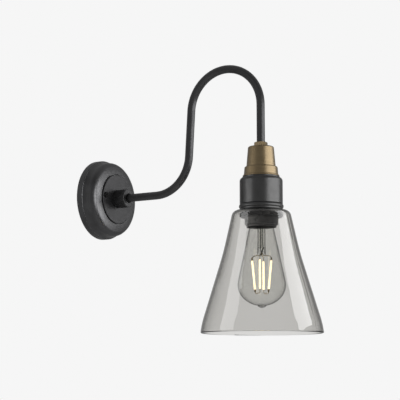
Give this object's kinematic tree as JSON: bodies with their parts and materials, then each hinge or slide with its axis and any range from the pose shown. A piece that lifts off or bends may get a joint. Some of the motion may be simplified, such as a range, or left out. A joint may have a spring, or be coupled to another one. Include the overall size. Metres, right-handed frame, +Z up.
{
  "type": "swan neck wall light",
  "caption": "Swan neck wall light: round stepped wall plate, curved tube arm, brass lamp holder cap, smoked glass bell shade held by a screwed ring, and a screw-in filament bulb.",
  "frame": {"origin": "centre of the wall plate's back, on the wall, on the axis of the arm's wall run", "axes": "+X out of the wall, +Z up, +Y to the left as seen facing the wall; the arm lies in Y = 0"},
  "size_m": [0.3116, 0.1454, 0.3304],
  "materials": {
    "charcoal_paint": "satin powder coat",
    "black_sleeve": "satin powder coat",
    "antique_brass": "satin antique",
    "dark_screws": "satin black",
    "zinc_steel": "zinc plated",
    "contact_brass": "bright",
    "black_phenolic": "gloss",
    "porcelain": "glazed",
    "block_nylon": "matte",
    "wire_brown": "smooth",
    "wire_blue": "smooth",
    "wire_green": "smooth",
    "gasket_rubber": "matte",
    "smoked_glass": "clear smoked",
    "bulb_clear_glass": "clear",
    "cap_nickel": "bright",
    "cap_insulator": "gloss",
    "solder": "satin",
    "filament_cream": "glowing",
    "lead_wire": "satin",
    "circuit_board": "satin"
  },
  "bodies": {
    "fixture": {"wall_plate": "charcoal_paint", "centre_disc": "charcoal_paint", "tube_boss": "charcoal_paint", "swan_neck_tube": "charcoal_paint", "holder_sleeve": "black_sleeve", "brass_cap": "antique_brass", "top_lock_nut": "antique_brass", "cover_screws": "dark_screws", "boss_grub_screw": "dark_screws", "mounting_bracket": "zinc_steel", "bracket_pillars": "zinc_steel", "arm_washer": "zinc_steel", "arm_lock_nut": "zinc_steel", "cap_washer": "zinc_steel", "inner_lock_nut": "zinc_steel", "block_screws": "zinc_steel", "block_fixing_screw": "zinc_steel", "holder_terminal_screws": "zinc_steel", "screw_shell": "contact_brass", "centre_contact": "contact_brass", "holder_terminals": "contact_brass", "earth_tag": "contact_brass", "lampholder_body": "black_phenolic", "lampholder_insert": "porcelain", "terminal_block": "block_nylon", "live_core": "wire_brown", "neutral_core": "wire_blue", "earth_core": "wire_green", "shade_gasket": "gasket_rubber"},
    "shade": {"glass_shade": "smoked_glass"},
    "ring": {"shade_ring": "black_phenolic"},
    "bulb_carrier": {"bulb_contact": "solder"},
    "bulb": {"bulb_insulator": "cap_insulator", "bulb_cap": "cap_nickel", "bulb_glass": "bulb_clear_glass", "bulb_stem": "bulb_clear_glass", "bulb_filaments": "filament_cream", "bulb_leads": "lead_wire", "bulb_driver": "circuit_board"}
  },
  "joints": [
    {"name": "shade_drop", "type": "slide", "parent": "fixture", "child": "shade", "axis": [0, 0, -1], "range_m": [0, 0.008]},
    {"name": "ring_turn", "type": "hinge", "parent": "shade", "child": "ring", "pos_m": [0.23892, 0, -0.035], "axis": [0, 0, -1], "range_deg": [0, 1152.1]},
    {"name": "bulb_drop", "type": "slide", "parent": "fixture", "child": "bulb_carrier", "axis": [0, 0, -1], "range_m": [0, 0.01634]},
    {"name": "bulb_turn", "type": "hinge", "parent": "bulb_carrier", "child": "bulb", "pos_m": [0.23892, 0, -0.02], "axis": [0, 0, -1], "range_deg": [0, 1620]}
  ],
  "couplings": [
    {"joint": "ring_turn", "follows": "shade_drop", "rad_per_m": 2513.3},
    {"joint": "bulb_drop", "follows": "bulb_turn", "m_per_rad": 0.00057751}
  ]
}
